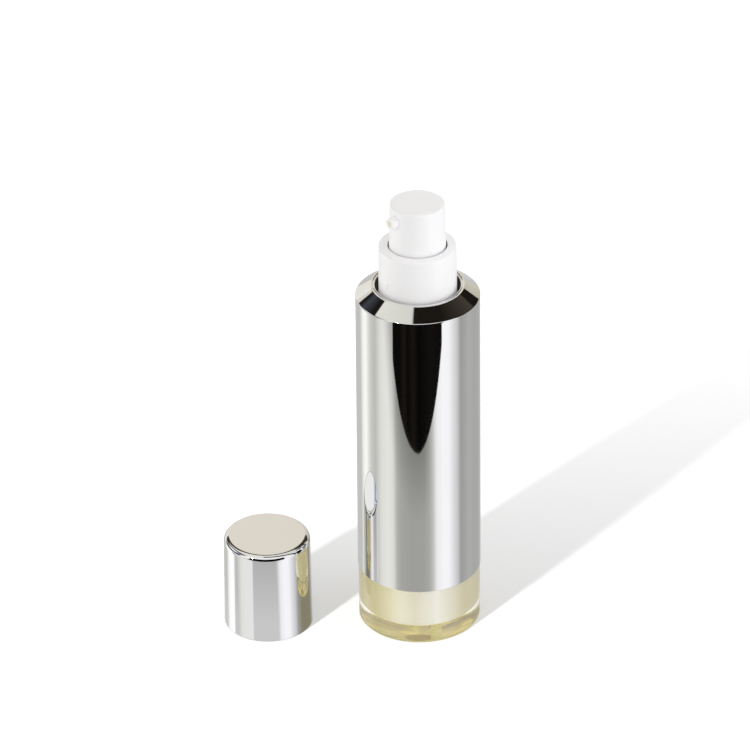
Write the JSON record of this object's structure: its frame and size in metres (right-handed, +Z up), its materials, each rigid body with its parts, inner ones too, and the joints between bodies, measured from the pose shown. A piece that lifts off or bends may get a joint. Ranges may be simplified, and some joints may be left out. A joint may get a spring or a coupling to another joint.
{
  "type": "airless pump bottle",
  "caption": "Slim airless pump bottle with a clear foot, a silver sleeve, a white side-nozzle pump button on a collar, and a silver cap standing beside it.",
  "frame": {"origin": "centre of the bottle's flat base, on the surface it stands on", "axes": "+Z up along the bottle's axis; the nozzle points along -Y; the taken-off cap stands beside the bottle towards -X and -Y"},
  "size_m": [0.0504, 0.0612, 0.1231],
  "materials": {
    "clear_acrylic": "clear, polished, thick-walled",
    "champagne": "pearl champagne, glossy",
    "silver_sleeve": "bright metallised silver, mirror-like",
    "silver_cap": "bright metallised silver, mirror-like",
    "white_plastic": "smooth, semi-gloss",
    "natural_plastic": "uncoloured, slightly milky",
    "steel": "drawn stainless",
    "gasket": "soft, pale"
  },
  "bodies": {
    "bottle": {"base_cup": "clear_acrylic", "inner_bottle": "champagne", "outer_sleeve": "silver_sleeve", "collar": "white_plastic", "neck_gasket": "gasket", "pump_housing": "natural_plastic", "stem_guide": "natural_plastic", "pump_spring": "steel"},
    "stem": {"pump_stem": "natural_plastic", "piston_rod": "natural_plastic"},
    "button": {"actuator": "white_plastic", "nozzle_insert": "white_plastic"},
    "metering_piston": {"pump_piston": "natural_plastic"},
    "ball": {"inlet_ball": "steel"},
    "follower": {"follower_piston": "natural_plastic"},
    "cap": {"cap_shell": "silver_cap", "cap_liner": "white_plastic"}
  },
  "joints": [
    {"name": "pump_press", "type": "slide", "parent": "bottle", "child": "stem", "axis": [0, 0, -1], "range_m": [0, 0.005], "stiffness_N_per_m": 1200, "springref_m": -0.004, "deforming": ["pump_spring"]},
    {"name": "actuator_swivel", "type": "hinge", "parent": "stem", "child": "button", "pos_m": [0, 0, 0.1199], "axis": [0, 0, 1], "continuous": true},
    {"name": "piston_lag", "type": "slide", "parent": "stem", "child": "metering_piston", "axis": [0, 0, 1], "range_m": [0, 0.0008]},
    {"name": "inlet_ball_lift", "type": "slide", "parent": "bottle", "child": "ball", "axis": [0, 0, 1], "range_m": [0, 0.001]},
    {"name": "follower_rise", "type": "slide", "parent": "bottle", "child": "follower", "axis": [0, 0, 1], "range_m": [0, 0.0752]},
    {"name": "cap_lift", "type": "slide", "parent": "bottle", "child": "cap", "axis": [0, 0, 1], "range_m": [0, 0.13]}
  ]
}
